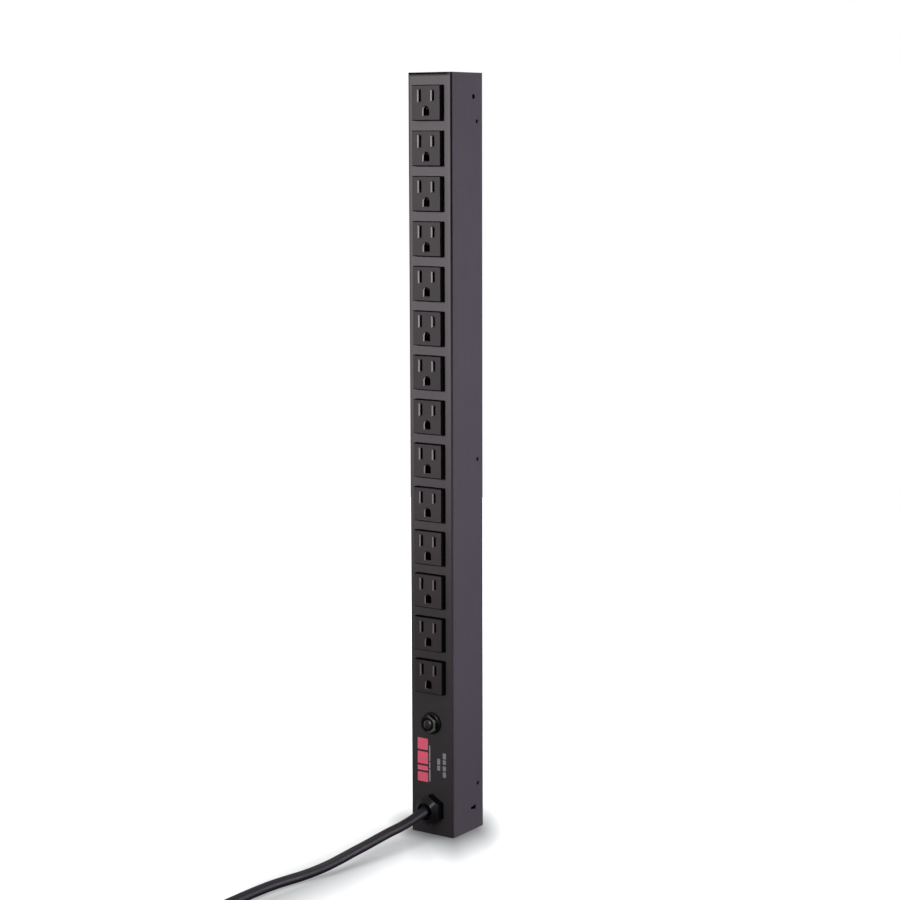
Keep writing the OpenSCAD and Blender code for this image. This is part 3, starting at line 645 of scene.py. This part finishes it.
def add_outlets():
    """The outlets. Their sides and rims carry painted shade, darker than their faces, and their slots'
    lead-ins a painted highlight, paler.
    """
    for node in OUTLET_NODES:
        obj = from_cad(node, 0.00018)
        obj.data.materials.append(OUTLET_SHADE)
        obj.data.materials.append(SLOT_HIGHLIGHT)
        low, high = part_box(node)
        middle = (low + high) / 2
        for face in obj.data.polygons:
            n, c = face.normal, face.center
            rim = min(high.x - c.x, high.z - c.z, c.z - low.z) < OUTLET_RIM
            # The rounded rim and the faces turned away get the painted shade; the slots' lead-ins get the
            # painted highlight.
            shaded_rim = rim and n.y > -0.93 and (n.x > 0.3 or abs(n.z) > 0.3)
            turned_away = n.y > -0.45 and c.y > low.y + 0.0002
            lead_in = n.y < -0.4 and n.x > 0.5 and abs(c.x - middle.x) < 0.01
            face.material_index = 1 if turned_away or shaded_rim else 2 if lead_in else 0


def add_ground_contacts():
    """The ground contacts, with a plating of their own and a painted glint in place of their slot's
    material.
    """
    repaint(from_cad("ground_contacts", 0.0001), contact_plating_and_glint())


def add_screws():
    """The cover screws: heads painted with the housing, each recess darkened with painted shade."""
    obj = from_cad("cover_screws", 0.00008)
    low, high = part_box("cover_screws")
    axis_y = (low.y + high.y) / 2
    radius = (high.y - low.y) / 2
    p = Paint("screw_head", STEEL, 0.5, specular=COAT_SPECULAR)
    flat = p.vector("MULTIPLY", p.place["Object"], (0, 1, 1))
    gap = None
    for z in (low.z + radius, (low.z + high.z) / 2, high.z - radius):
        here = p.vector("DISTANCE", flat, (0, axis_y, z), "Value")
        gap = here if gap is None else p.math("MINIMUM", gap, here)
    p.tint(p.spread(p.noise(0.0008, 2), 0.55, 0.7, 0.0, 0.4), shade(STEEL, 1.6))
    # Painted shade: each screw's recess is darkened and loses its gloss.
    recess_shade = p.spread(gap, 0.0017, 0.0014)
    p.tint(recess_shade, shade(STEEL, 0.03))
    p.set("Specular IOR Level", p.spread(recess_shade, 0.0, 1.0, COAT_SPECULAR, 0.01))
    p.bump(p.noise(0.0005, 2), 0.00002, 0.5)
    repaint(obj, p.material)


def add_housing():
    """The folded housing. The walls of its side holes are near black, painted shade."""
    obj = from_cad("front_housing", SHEET_EDGE)
    obj.data.materials.append(OUTLET_SHADE)
    inside, most_y, most_area = HOUSING_HIGH.x - FOLD_R, 0.0195, 2e-5
    for face in obj.data.polygons:
        n, c = face.normal, face.center
        if abs(c.x) > inside and abs(n.x) < 0.6 and abs(c.y) < most_y and face.area < most_area:
            face.material_index = 1


def add_breaker():
    """The breaker's ring, threaded bushing and button, turned about its axis, and its hexagon nut."""
    at = centre("breaker_bezel")
    at.y = 0
    y = PANEL_Y / MM
    ring = [(5.6, y), (9.2, y, 0), (9.2, y - 1.7, 0.35), (7.9, y - 2.6, 0.3), (5.6, y - 2.6, 0.2),
            (5.6, y)]
    bezel = placed("bezel_ring", lathe(rounded_profile(ring)), at)
    finish_piece(bezel, MATERIALS["breaker_ring"], "breaker_bezel")
    nut = from_cad("breaker_nut", SHEET_EDGE, 3)
    # The nut's front faces take the painted highlight.
    nut.data.materials.append(NUT_FACE_HIGHLIGHT)
    for face in nut.data.polygons:
        face.material_index = 1 if face.normal.y < -0.3 else 0
    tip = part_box("breaker_bushing")[0].y / MM
    wall = [(4.0, tip + 6), (4.0, tip + 0.3, 0), (4.35, tip, 0.15), (5.2, tip, 0.15),
            (5.5, tip + 0.35, 0.1)]
    for k in range(4):
        wall += [(5.3, tip + 0.7 + k * 0.6, 0.05), (5.5, tip + 1.0 + k * 0.6, 0.05)]
    wall += [(5.5, tip + 6, 0), (5.5, y + 1.2, 0), (7, y + 1.2, 0), (7, y + 2.7, 0), (4.0, y + 2.7, 0),
             (4.0, tip + 6)]
    bushing = placed("threaded_bushing", lathe(rounded_profile(wall, 0.1, 2)), at)
    finish_piece(bushing, MATERIALS["breaker_ring"], "breaker_bushing")
    tip, stem = (corner.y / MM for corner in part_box("breaker_button"))
    collar = tip + 14.75
    cap = [(0, tip), (1.6, tip + 0.03, 0), (2.9, tip + 0.16, 0.6), (3.62, tip + 0.42, 0.3),
           (3.9, tip + 1.0, 0.5), (3.9, collar, 0), (5, collar, 0.2), (5, collar + 1.4, 0.2),
           (2, collar + 1.4, 0.2), (2, stem, 0.2), (0, stem)]
    button = placed("reset_button_cap", lathe(rounded_profile(cap, 0.2)), at)
    finish_piece(button, MATERIALS["breaker_button"], "breaker_button", body="reset_button")


def add_gland():
    """The gland, with a shinier cone and rim on its nut, both painted paler than its nylon as painted
    highlight, and the tapered seal round the cord.
    """
    from_cad("gland_body", 0.0005, 3)
    nut = from_cad("gland_nut", 0.0005, 3)
    nut.data.materials.append(GLAND_CONE_LIT)
    nut.data.materials.append(GLAND_RIM_HIGHLIGHT)
    at = centre("gland_nut")
    mouth_r, nose_r, corner_r = 6.85, 7.65, 10.6
    # The nut's cone, its rim and the cone's corners by the hexagon take the painted light.
    for face in nut.data.polygons:
        out = math.hypot(face.center.x - at.x, face.center.z - at.z) / MM
        facing = face.normal.y
        on_cone = out > nose_r and -0.95 < facing < -0.3
        on_rim = mouth_r < out <= nose_r and facing < -0.3 or out > corner_r and -0.75 < facing < -0.3
        face.material_index = 2 if on_rim else 1 if on_cone else 0
    at = centre("gland_seal")
    at.y = 0
    a, b = (corner.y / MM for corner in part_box("gland_seal"))
    r_in = CORD_D / 2
    sleeve = [(r_in, b), (5.2, b, 0.2), (5.9, a + 3, 0.5), (5.95, a, 0.5), (4.6, a + 0.5, 0.4),
              (r_in, a + 1.4, 0.2), (r_in, b)]
    seal = placed("cord_seal", lathe(rounded_profile(sleeve)), at)
    finish_piece(seal, MATERIALS["seal_rubber"], "gland_seal")


def add_marks():
    """Screen-printed marks on the lower front: plain blocks and dashes, with no lettering."""
    red, pale, grey = (0.88, 0.125, 0.21), (0.38, 0.36, 0.39), (0.26, 0.25, 0.29)
    groups = {
        "mark_red": (red, 0.8, [(-14.6, -4.2, *z)
                                for z in ((43.6, 51.5), (53.1, 57.1), (58.7, 69), (70.6, 80.4))]),
        "mark_pale": (pale, 0.3, [(-3, -1.9, *z) for z in ((44.5, 55), (55.8, 61), (61.8, 75))]),
        "mark_grey": (grey, 0.5, [(5, 8, *z) for z in ((55.2, 59.4), (60.2, 65.2))]
                      + [(10.6, 13.8, *z) for z in ((50, 54.6), (55.6, 59.6), (61, 64.8), (65.6, 70.5))]),
    }
    y = (PANEL_Y - INK_T) / MM
    for name, (colour, r, blocks) in groups.items():
        bm = bmesh.new()
        for x0, x1, z0, z1 in blocks:
            corners = ((x1 - r, z0 + r, -90), (x1 - r, z1 - r, 0),
                       (x0 + r, z1 - r, 90), (x0 + r, z0 + r, 180))
            turns = [(cx, cz, math.radians(start + 15 * k)) for cx, cz, start in corners for k in range(7)]
            outline = [mm(cx + r * math.cos(a), y, cz + r * math.sin(a)) for cx, cz, a in turns]
            bm.faces.new([bm.verts.new(corner) for corner in outline])
        bmesh.ops.recalc_face_normals(bm, faces=bm.faces)
        if sum(face.normal.y for face in bm.faces) > 0:
            bmesh.ops.reverse_faces(bm, faces=bm.faces)
        finish_piece(new_object(name, mesh_from(bm, name, outward=False)), print_ink(name, colour, STEEL))


def add_plug():
    """The moulded plug, its ribbed sleeve and its blades, as a list of pieces."""
    low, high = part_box("plug_body")
    at = Vector(((low.x + high.x) / 2, 0, (low.z + high.z) / 2))
    y0, depth = low.y / MM, (high.y - low.y) / MM
    w, h = (high.x - low.x) / 2 / MM, (high.z - low.z) / 2 / MM
    sections = [(0, 5.8, 5.8, 2), (0.6, 6.3, 6.2, 2.1), (3, 7.6, 7.2, 2.4), (7, 10.2, 9.2, 3),
                (11, 12.4, 10.9, 3.8), (14, 13.2, 11.7, 4.6), (17, w, h, 5.5), (depth - 1.2, w, h, 6.5),
                (depth - 0.35, w - 0.4, h - 0.4, 6.5), (depth, w - 1.1, h - 1.1, 6.5)]
    dense = []
    for a, b in zip(sections, sections[1:]):
        count = max(1, int((b[0] - a[0]) / 0.5))
        for k in range(count):
            dense.append([here + (after - here) * (k / count) for here, after in zip(a, b)])
    dense.append(sections[-1])
    bm = bmesh.new()
    rings = []
    steps = 72
    for y, half_w, half_h, power in dense:
        grip = 0.45 * (0.5 + 0.5 * math.cos(2 * math.pi * (y - 4) / 2.4)) if 4 < y < 15 else 0.0
        ring = []
        for k in range(steps):
            a = 2 * math.pi * k / steps
            c, s = math.cos(a), math.sin(a)
            x = math.copysign(abs(c) ** (2 / power), c) * half_w
            z = math.copysign(abs(s) ** (2 / power), s) * half_h
            x -= math.copysign(grip, x) * min(1, abs(c) * 1.3)
            ring.append(bm.verts.new(mm(x, y0 + y, z)))
        rings.append(ring)
    join_rings(bm, rings)
    bm.faces.new(rings[0])
    bm.faces.new(rings[-1])
    body = placed("plug_moulding", mesh_from(bm, "plug"), at)
    finish_piece(body, MATERIALS["plug_moulding"], "plug_body")

    a, b = (corner.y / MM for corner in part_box("plug_strain_relief"))
    profile = [(CORD_D / 2, a), (5, a, 0.3)]
    ribs = 8
    for k in range(ribs):
        start, end, after = (a + (b - a) * t / ribs for t in (k, k + 0.55, k + 1))
        r = 5 + 1.8 * k / ribs
        profile += [(r, start + 0.6, 0.3), (r + 0.1, end, 0.3), (r - 0.75, end + 0.35, 0.25),
                    (r - 0.7, after - 0.1, 0.25)]
    profile += [(6.6, b - 0.05, 0), (CORD_D / 2, b)]
    relief = placed("plug_sleeve", lathe(rounded_profile(profile, 0.2, 2), 64), at)
    finish_piece(relief, MATERIALS["plug_moulding"], "plug_strain_relief")
    blades = [from_cad(n, 0.0003) for n in ("plug_line_blade", "plug_neutral_blade", "plug_ground_pin")]
    return [body, relief, *blades]


def add_ties():
    """Two ribbed nylon bands round the hank's sides, each with its lock."""
    pieces = []
    steps = 14
    half_w, half_h, r, t = CORD_D - 0.02, 2 * CORD_D - 0.02, 4.2, 0.7
    across, up = half_w - r, half_h - r
    band = ((t, -2.3), (0.1, -2.4), (0, -2.1), (0, -1.2), (0.18, -1.0), (0.18, 1.0), (0, 1.2), (0, 2.1),
            (0.1, 2.4), (t, 2.3))
    for side in (-1, 1):
        x_mid = HANK_X + side * (HANK_INNER_R + HANK_OUTER_R) / 2
        bm = bmesh.new()
        loop = []
        for cx, cz, start in ((across, up, 0), (-across, up, 90), (-across, -up, 180), (across, -up, 270)):
            for k in range(steps + 1):
                a = math.radians(start + 90 * k / steps)
                loop.append((cx, cz, math.cos(a), math.sin(a)))
        rows = []
        for depth, y in band:
            out = r - depth
            rows.append([bm.verts.new(mm(x_mid + cx + out * c, TIE_Y + y, 2 * CORD_D + cz + out * s))
                         for cx, cz, c, s in loop])
        join_rings(bm, [*rows, rows[0]])
        bmesh.ops.recalc_face_normals(bm, faces=bm.faces)
        lock_x = x_mid - side * (half_w + 1.4)
        lock = bmesh.ops.create_cube(bm, size=1)["verts"]
        bmesh.ops.scale(bm, verts=lock, vec=mm(3.2, 5.6, 6.4))
        bmesh.ops.translate(bm, verts=lock, vec=mm(lock_x, TIE_Y, 2 * CORD_D + 5))
        mesh = mesh_from(bm, "tie", outward=False)
        obj = rounded("hank_tie_left" if side < 0 else "hank_tie_right", mesh, 0.0003, angle=50)
        finish_piece(obj, MATERIALS["tie_nylon"], "hank_ties")
        pieces.append(obj)
    return pieces


# ---------------------------------------------------------------- floor and light

FLOOR_RADIUS = 1.7
FLOOR_GLOW, FAR_GLOW = 0.6, 1.3
AMBIENT = 0.38
SHADOW_DRAWN_IN = 0.327
BASE_SHADOW_REACH, BASE_SHADOW_DEPTH = 0.0266, 0.80
CORD_SHADOW_REACH, CORD_SHADOW_DEPTH = 0.0255, 0.56
BASE_EDGE = [(-0.021, -0.0218), (0.021, -0.0218), (0.021, 0.011)]
CORD_SHADOW = [(0.0080, -0.0400), (-0.0098, -0.0472), (-0.0116, -0.0793), (-0.0071, -0.1384),
               (-0.0085, -0.1872), (-0.0114, -0.2296)]


def add_light(kind, name, at, to, power, colour=(1, 1, 1), **settings):
    data = bpy.data.lights.new(name, kind)
    data.energy = power
    data.color = colour
    for key, value in settings.items():
        setattr(data, key, value)
    light = bpy.data.objects.new(name, data)
    light.location = at
    light.rotation_euler = (Vector(to) - Vector(at)).to_track_quat("-Z", "Y").to_euler()
    scene.collection.objects.link(light)
    light.visible_camera = False


def area_light(name, at, to, side, power, colour=(1, 1, 1)):
    add_light("AREA", name, at, to, power, colour, shape="SQUARE", size=side)


def spot_light(name, at, to, degrees, power, radius):
    """A round lamp whose light fades from the middle of its cone to the cone's edge."""
    add_light("SPOT", name, at, to, power, spot_size=math.radians(degrees), spot_blend=1.0,
              shadow_soft_size=radius)


def soft_shadow(p):
    """How dark the floor is by the base's front and right and along the cord, painted as the photo shows it.

    It's laid out for the photo's view: SHADOW_DRAWN_IN shortens places along the camera's line of sight, so
    the shade reaches further that way. It stays where it is on the floor in other views.
    """
    turn = math.radians(-CAMERA_AZIMUTH)
    place = p.moved(p.moved(p.place["Object"], turn), scale=(1, SHADOW_DRAWN_IN, 1))

    def seen(x, y):
        spot = Matrix.Rotation(turn, 3, "Z") @ Vector((x, y, 0))
        return Vector((spot.x, spot.y * SHADOW_DRAWN_IN, 0))

    def darkness(points, reach, depth):
        nearest = None
        for a, b in zip(points, points[1:]):
            start, run = seen(*a), seen(*b) - seen(*a)
            offset = p.vector("SUBTRACT", place, start)
            along = p.vector("DOT_PRODUCT", offset, run / run.length_squared, "Value")
            foot = p.vector("MULTIPLY", run, p.spread(along, 0, 1))
            gap = p.vector("DISTANCE", offset, foot, "Value")
            nearest = gap if nearest is None else p.math("MINIMUM", nearest, gap)
        return p.spread(nearest, 0, reach, depth, 0)

    base = darkness(BASE_EDGE, BASE_SHADOW_REACH, BASE_SHADOW_DEPTH)
    cord = darkness(CORD_SHADOW, CORD_SHADOW_REACH, CORD_SHADOW_DEPTH)
    return p.math("MAXIMUM", base, cord)


def add_floor():
    """A pale round floor that glows a little. Its glow and its colour light nothing else."""
    bm = bmesh.new()
    bmesh.ops.create_circle(bm, cap_ends=True, segments=96, radius=FLOOR_RADIUS)
    mesh = mesh_from(bm, "floor", outward=False)
    floor = bpy.data.objects.new("floor", mesh)
    floor.location = (0, 0, -0.05 * MM)
    scene.collection.objects.link(floor)
    floor.visible_glossy = floor.visible_diffuse = False
    p = Paint("floor", (0.49, 0.505, 0.50), 0.9, specular=0.05)
    p.tint(p.spread(p.noise(0.25, 2), 0.3, 0.7, 0.0, 0.3), (0.50, 0.515, 0.51))
    shadow = soft_shadow(p)
    p.tint(shadow, (0, 0, 0))
    away = p.vector("DISTANCE", p.place["Object"], (0, 0, 0), "Value")
    glow = p.spread(away, 0.35, 0.8, FLOOR_GLOW, FAR_GLOW)
    p.set("Emission Color", (0.99, 1.0, 0.995, 1))
    p.set("Emission Strength", p.math("MULTIPLY", glow, p.math("SUBTRACT", 1.0, shadow)))
    mesh.materials.append(p.material)


def add_world():
    """White where the camera sees it. All else gets a faint light, stronger from above than from below."""
    world = bpy.data.worlds.new("studio")
    scene.world = world
    world.use_nodes = True
    tree = world.node_tree
    tree.nodes.clear()

    def add(kind):
        return tree.nodes.new("ShaderNode" + kind)

    out, mix, seen, ambient = add("OutputWorld"), add("MixShader"), add("Background"), add("Background")
    rays, place, split = add("LightPath"), add("TexCoord"), add("SeparateXYZ")
    height, ramp = add("MapRange"), add("ValToRGB")
    seen.inputs["Color"].default_value = (1, 1, 1, 1)
    seen.inputs["Strength"].default_value = 1.0
    ambient.inputs["Strength"].default_value = AMBIENT
    height.inputs["From Min"].default_value = -1
    for stop, at, grey in zip(ramp.color_ramp.elements, (0.30, 0.62), (0.25, 1)):
        stop.position = at
        stop.color = (grey, grey, grey, 1)
    for a, b in ((place.outputs["Generated"], split.inputs[0]), (split.outputs["Z"], height.inputs["Value"]),
                 (height.outputs[0], ramp.inputs["Fac"]), (ramp.outputs["Color"], ambient.inputs["Color"]),
                 (rays.outputs["Is Camera Ray"], mix.inputs[0]), (ambient.outputs[0], mix.inputs[1]),
                 (seen.outputs[0], mix.inputs[2]), (mix.outputs[0], out.inputs["Surface"])):
        tree.links.new(a, b)


# ---------------------------------------------------------------- the scene

scene.view_settings.view_transform = "Standard"
add_camera()
add_cord(MATERIALS["cord_jacket"], add_plug() + add_ties())
add_outlets()
add_screws()
add_ground_contacts()
add_breaker()
add_gland()
add_housing()
for cad_node in ("rear_cover", "top_end_plate", "bottom_end_plate"):
    from_cad(cad_node, SHEET_EDGE)
add_marks()
add_floor()
add_world()
spot_light("key", (-0.25, -1.75, 0.76), (0, 0, 0.497), 22.6, 270, 0.1)
area_light("front", (-0.1, -1.8, 0.3), (0, 0, 0.1), 0.6, 3.4)
area_light("side", (1.5, 0.6, 0.30), (0, 0, 0.22), 1.0, 33, (1.0, 0.94, 1.15))
area_light("low_side", (1.2, 0.45, 0.06), (0, 0, 0.04), 0.3, 1.6, (0.9, 0.93, 1.4))
spot_light("glint", (0.37, -0.94, 0.71), (0, -0.03, 0.03), 5, 13, 0.07)
spot_light("low_front", (-0.1, -1.8, 0.3), (0, 0, 0.118), 6, 80, 0.1)
area_light("top", (-0.11, 0.16, 2.0), (-0.11, 0.15, 0), 1.4, 37)
